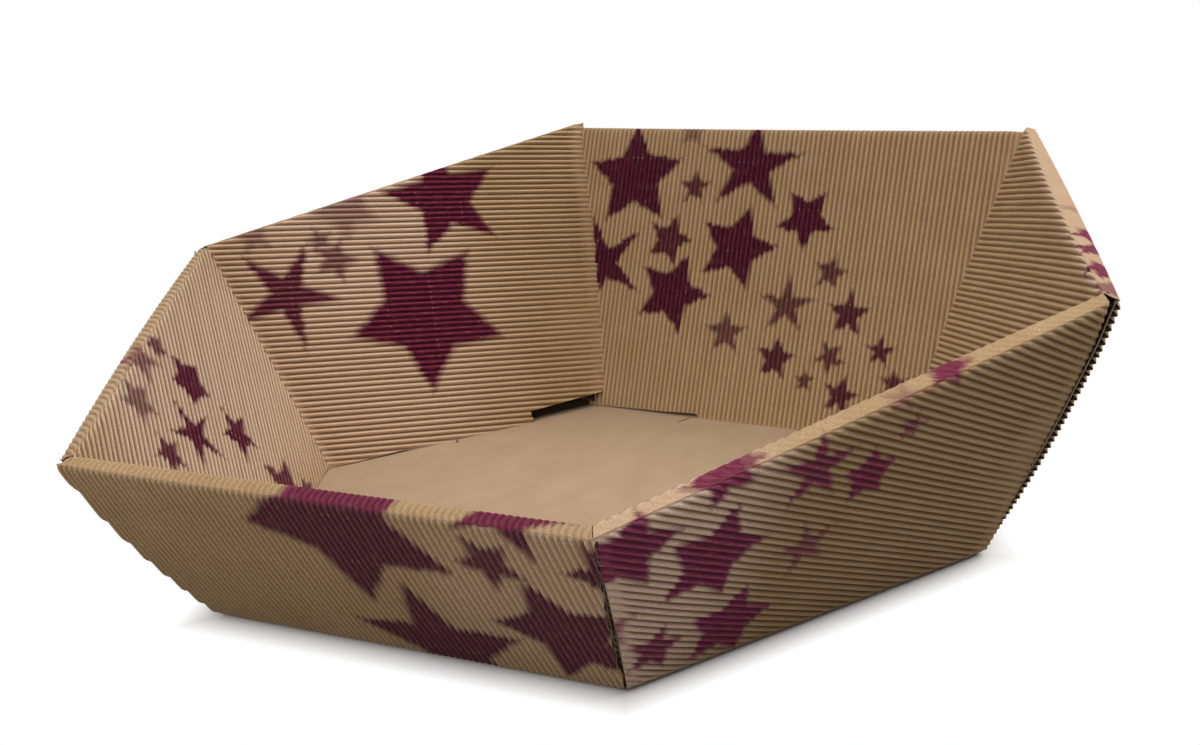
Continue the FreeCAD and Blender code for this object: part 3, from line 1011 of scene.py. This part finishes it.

# The floor and the liner, the sides inside the hollow walls, near black as painted shade, and cut edges:
# light, dark and speck colour
LINERS = {
    "kraft_liner": ((0.54, 0.385, 0.25, 1), (0.48, 0.335, 0.21, 1), (0.39, 0.27, 0.165, 1)),
    "kraft_hidden_shade": ((0.05, 0.034, 0.021, 1), (0.04, 0.027, 0.016, 1), (0.03, 0.02, 0.012, 1)),
    "kraft_edge": ((0.50, 0.36, 0.23, 1), (0.40, 0.28, 0.17, 1), (0.30, 0.20, 0.12, 1)),
}

# Where one tone passes into another: from and to, in a noise or up a flute, and the shares there
MOTTLING = (0.3, 0.7, 0.0, 0.5)
FIBRES = (0.40, 0.75, 0.0, 0.55)
CRESTS = (0.75, 1.0, 0.0, 0.45)
GRAINS = (0.3, 0.7, 0.78, 1.22)
PAINTED_LIGHT_FIBRES = (0.35, 0.75, 1.0, 0.7)
INK_CRESTS = (0.60, 1.0, 0.0, 0.7)
INK_FIBRES = (0.45, 0.75, 0.0, 0.4)
INK_STREAKS = (0.25, 0.5, 0.86, 1.0)
LINER_MOTTLING = (0.3, 0.7)
LINER_SPECKS = (0.35, 0.75, 0.0, 0.45)
# Painted pools of light: where each is full, as a share of its reach, and how much of it shows on a strip
PAINTED_LIGHT_CORE = 0.3
PAINTED_LIGHT_ON_STRIP = 0.3
# Faint lines of the rolls across the crests: half their spacing and their place in mm, their edge, how
# high on a flute they are, their strength on paper and ink, and which flutes show them on ink
FINGER_HALF = 10.15
FINGER_START = -2.2
FINGER_EDGE = (0.32, 0.12)
FINGER_CREST = (0.7, 0.95)
FINGER_TONE = 0.3
FINGER_ON_INK = 0.55
INKED_FLUTES = (0.45, 0.8)
# Print: how much a flute takes it as one, how ragged its ends are in mm, and its lights and darks; the
# darks are painted shade in the valleys
OWN_FLUTE = 0.45
FLUTE_JITTER = 1.3
STREAK_JITTER = 4.0
INK_LIGHT = 2.0
INK_PALE = 2.2
INK_DARK = 0.3
INK_PAINTED_SHADE = 0.85
# Noises on the blank: scale for each mm, detail and, where it isn't usual, roughness
MOTTLE_NOISE = (0.06, 3.0)
FIBRE_NOISE = (1.0, 4.0, 0.7)
GRAIN_NOISE = (2.2, 3.0)
STREAK_NOISE = (1.0, 3.0)
LINER_NOISE = (0.05, 4.0)
FINE_NOISE = (1.3, 4.0, 0.7)
# How noises are drawn out along the flutes, and the depth of the fine bump in metres
FIBRE_STRETCH = (2.2, 0.9, 1.0)
STREAK_STRETCH = (1.6, 0.22, 1.0)
BUMP_HEIGHT = 0.0001


def line_distance(n, spot, line):
    """Nodes for the distance from a spot of the blank to a short line."""
    start = (line[0], line[1], 0.0)
    run = (line[2] - line[0], line[3] - line[1], 0.0)
    size = run[0] ** 2 + run[1] ** 2
    step = n.vmath("SUBTRACT", spot, start)
    share = n.ramp(n.vmath("DOT_PRODUCT", step, run, out=1), 0.0, size)
    return n.vmath("LENGTH", n.vmath("SUBTRACT", step, n.vmath("MULTIPLY", share, run)), out=1)


def scaled(colour, by):
    return (colour[0] * by, colour[1] * by, colour[2] * by, 1)


def kraft_material(name, stars, group, wall=None, strip=False):
    """Fluted kraft paper with plum stars printed across the flutes, a painted highlight on its crests,
    painted shade in its valleys and painted pools of pale pink light; a strip is pressed, without the
    highlight and with less of that pink light.
    """
    material = new_material(name)
    n = Nodes(material.node_tree)
    relief = n.add("Attribute", out=2, attribute_name="relief")
    x, y, phase = n.split(n.add("Attribute", out=1, attribute_name="spot"))
    spot = n.add("CombineXYZ", [x, y, 0.0])

    # Paper: mottling, fibres along the flutes, a painted highlight on the crests, painted pools of pale
    # pink light, painted shade in the valleys and the rolls' lines
    mottle = n.noise(spot, *MOTTLE_NOISE)
    fibre = n.noise(n.vmath("MULTIPLY", spot, FIBRE_STRETCH), *FIBRE_NOISE)
    grain = n.noise(spot, *GRAIN_NOISE)
    tone = n.mix(n.ramp(mottle, *MOTTLING), KRAFT, KRAFT_LIGHT)
    tone = n.mix(n.ramp(fibre, *FIBRES), tone, KRAFT_DARK)
    # Painted highlight on the crests of the flutes, left off the pressed strips
    if not strip:
        tone = n.mix(n.ramp(relief, *CRESTS), tone, KRAFT_LIGHT)
    # Painted pools of pale pink light, broken up by the fibres and weaker on a strip
    for *line, reach, most in PAINTED_LIGHTS.get(wall, ()):
        away = line_distance(n, spot, line)
        most = most * (PAINTED_LIGHT_ON_STRIP if strip else 1.0)
        pale = n.ramp(away, reach, reach * PAINTED_LIGHT_CORE, 0.0, most, kind="SMOOTHSTEP")
        pale = n.times(pale, n.ramp(fibre, *PAINTED_LIGHT_FIBRES))
        tone = n.mix(pale, tone, PAINTED_LIGHT)
    # Painted shade in the valleys of the flutes, stronger on some walls
    deep, reach = PAINTED_SHADES.get(wall, USUAL_PAINTED_SHADE)
    tone = n.mix(n.ramp(relief, 0.0, reach, deep, 0.0), tone, PAINTED_SHADE)
    tone = n.mix(1.0, tone, n.ramp(grain, *GRAINS), "MULTIPLY")
    finger = n.math("PINGPONG", n.math("ADD", y, FINGER_START), FINGER_HALF)
    finger = n.times(n.ramp(finger, *FINGER_EDGE), n.ramp(relief, *FINGER_CREST))
    tone = n.mix(n.times(finger, FINGER_TONE), tone, SPECK)
    if stars:
        # Ink: each flute takes its own length of the print, and its edge is streaked along the flutes
        drift = n.math("SUBTRACT", phase, x)
        flute = n.math("FLOOR", n.math("DIVIDE", phase, FLUTE_PITCH))
        random = n.add("TexWhiteNoise", {"W": flute}, noise_dimensions="1D")
        streak = n.noise(n.vmath("MULTIPLY", spot, STREAK_STRETCH), *STREAK_NOISE)
        ragged = n.math("MULTIPLY_ADD", random, FLUTE_JITTER, -FLUTE_JITTER / 2)
        ragged = n.math("ADD", ragged, n.math("MULTIPLY_ADD", streak, STREAK_JITTER, -STREAK_JITTER / 2))
        centre = n.math("MULTIPLY_ADD", flute, FLUTE_PITCH, FLUTE_PITCH / 2)
        centre = n.times(n.math("SUBTRACT", centre, drift), OWN_FLUTE)
        print_x = n.math("ADD", n.times(x, 1 - OWN_FLUTE), centre)
        print_spot = n.add("CombineXYZ", [print_x, n.math("ADD", y, ragged), 0.0])
        ink = 0.0
        for star in stars:
            ink = n.math("MAXIMUM", ink, star_mask(n, group, print_spot, *star))
        # The ink is lighter or darker on some walls as painted light and shade
        colour = STRIP_INK if strip else INKS.get(wall, INK)
        print_tone = n.mix(n.ramp(relief, *INK_CRESTS), scaled(colour, 1.0), scaled(colour, INK_LIGHT))
        print_tone = n.mix(n.ramp(fibre, *INK_FIBRES), print_tone, scaled(colour, INK_PALE))
        # Painted shade in the valleys under the ink
        shade = n.ramp(relief, 0.0, reach, deep * INK_PAINTED_SHADE, 0.0)
        print_tone = n.mix(shade, print_tone, scaled(colour, INK_DARK))
        dots = n.times(n.times(finger, FINGER_ON_INK), n.ramp(random, *INKED_FLUTES))
        print_tone = n.mix(dots, print_tone, SPECK)
        tone = n.mix(n.times(ink, n.ramp(streak, *INK_STREAKS)), tone, print_tone)
    n.paper_shader(tone, grain, bump=0.25, roughness=0.78, specular=0.12)
    return material


def liner_material(name, slits=()):
    """The smooth liner: the tray's floor, the hidden side of every panel (near black in the walls, as
    painted shade) and the cut edges; slits are painted on as lines of shade.
    """
    light, dark, speck = LINERS[name]
    material = new_material(name)
    n = Nodes(material.node_tree)
    spot = n.add("Attribute", out=1, attribute_name="spot")
    fine = n.noise(spot, *FINE_NOISE)
    tone = n.mix(n.ramp(n.noise(spot, *LINER_NOISE), *LINER_MOTTLING), dark, light)
    tone = n.mix(n.ramp(fine, *LINER_SPECKS), tone, speck)
    flat = n.vmath("MULTIPLY", spot, (1.0, 1.0, 0.0))
    # Each slit is painted on as a thin line of shade
    for slit in slits:
        tone = n.mix(n.ramp(line_distance(n, flat, slit), *SLIT_EDGE), tone, PAINTED_SHADE)
    n.paper_shader(tone, fine, bump=0.2, roughness=0.8, specular=0.3)
    return material


# The camera: sensor and lens in mm, shift, place in metres and turn in degrees
SENSOR = 36.0
LENS = 45.48
LENS_SHIFT = (-0.1667, 0.0833)
CAMERA_PLACE = (0.3121, -0.4681, 0.2147)
CAMERA_TURN = (69.85, 3.09, 25.33)
CLIP_START = 0.01

# Soft sun lamps: the angle from +X and the height above the floor that each shines from, its strength,
# the angle it fills and its colour
SUNS = {
    "key": (45, 50, 2.08, 40, (1.0, 0.985, 0.97)),
    "front_fill": (-90, 40, 1.18, 50, (1.0, 1.0, 1.0)),
    "left_fill": (180, 40, 0.66, 50, (1.0, 0.985, 0.98)),
}

# The floor, in metres, and what the tray gets from it and from the world; both are seen as white
FLOOR_CORNERS = ((-1, -1), (1, -1), (1, 1), (-1, 1))
FLOOR_SIZE = 12.0
FLOOR_LEVEL = -0.0005
FLOOR_SEEN = (0.98, 0.98, 0.98, 1)
FLOOR_BOUNCE = (0.34, 0.33, 0.32, 1)
FILL_COLOUR = (1.0, 0.985, 0.96, 1)
FILL_STRENGTH = 0.1
WHITE = (1, 1, 1, 1)


def add_object(name, data):
    thing = bpy.data.objects.new(name, data)
    bpy.context.scene.collection.objects.link(thing)
    return thing


def add_camera():
    data = bpy.data.cameras.new("camera")
    data.sensor_width = SENSOR
    data.lens = LENS
    data.shift_x, data.shift_y = LENS_SHIFT
    data.clip_start = CLIP_START
    camera = add_object("camera", data)
    camera.location = CAMERA_PLACE
    camera.rotation_euler = Euler([math.radians(angle) for angle in CAMERA_TURN])
    bpy.context.scene.camera = camera


def add_sun(name, turn, height, strength, width, colour):
    data = bpy.data.lights.new(name, "SUN")
    data.energy = strength
    data.angle = math.radians(width)
    data.color = colour
    flat = math.cos(math.radians(height))
    source = Vector((math.cos(math.radians(turn)) * flat, math.sin(math.radians(turn)) * flat, 0))
    source.z = math.sin(math.radians(height))
    add_object(name, data).rotation_euler = source.to_track_quat("Z", "Y").to_euler()


def add_stage(walls):
    """A plain pale floor that is seen white away from the tray's shadow, and a plain world."""
    mesh = bpy.data.meshes.new("floor")
    square = [(x * FLOOR_SIZE, y * FLOOR_SIZE, FLOOR_LEVEL) for x, y in FLOOR_CORNERS]
    mesh.from_pydata(square, [], [(0, 1, 2, 3)])
    floor = add_object("floor", mesh)
    material = new_material("floor_white")
    n = Nodes(material.node_tree)
    seen = n.seen()
    lit = n.add("BsdfDiffuse", {"Color": n.mix(seen, FLOOR_BOUNCE, FLOOR_SEEN)})
    place_on = n.add("TexCoord").node.outputs["Object"]
    far = None
    for wall in walls:
        across = n.vmath("DOT_PRODUCT", place_on, tuple(wall.outward), out=1)
        beyond = n.math("SUBTRACT", across, float(wall.outward @ (wall.start + vec(0, SHIFT_Y))) * MM)
        far = beyond if far is None else n.math("MAXIMUM", far, beyond)
    white = n.add("Emission", {"Color": WHITE, "Strength": 1.0})
    share = n.times(n.ramp(far, SHADOW_NEAR, SHADOW_FAR), seen)
    n.add("OutputMaterial", [n.add("MixShader", [share, lit, white])])
    floor.data.materials.append(material)
    world = bpy.data.worlds.new("world")
    bpy.context.scene.world = world
    world.use_nodes = True
    world.node_tree.nodes.clear()
    n = Nodes(world.node_tree)
    fill = n.add("Background", {"Color": FILL_COLOUR, "Strength": FILL_STRENGTH})
    plain = n.add("Background", {"Color": WHITE, "Strength": 1.0})
    n.add("OutputWorld", [n.add("MixShader", [n.seen(), fill, plain])])


add_camera()
walls = make_walls()
add_stage(walls)
for name, settings in SUNS.items():
    add_sun(name, *settings)
liner = liner_material("kraft_liner", SLITS)
# The walls' hidden sides get a near-black liner: painted shade
hidden = liner_material("kraft_hidden_shade")
edge = liner_material("kraft_edge")
group = star_group()
for i, wall in enumerate(walls):
    stars = STARS[wall.name]
    paper = kraft_material("kraft_" + wall.name, stars, group, wall.name)
    pressed = kraft_material("strip_" + wall.name, stars, group, wall.name, strip=True)
    build_wall(walls, i, [paper, hidden, edge, pressed])
plain_paper = kraft_material("kraft_base", (), group)
build_base(walls, [plain_paper, liner, edge])

bpy.context.scene.view_settings.view_transform = "Standard"
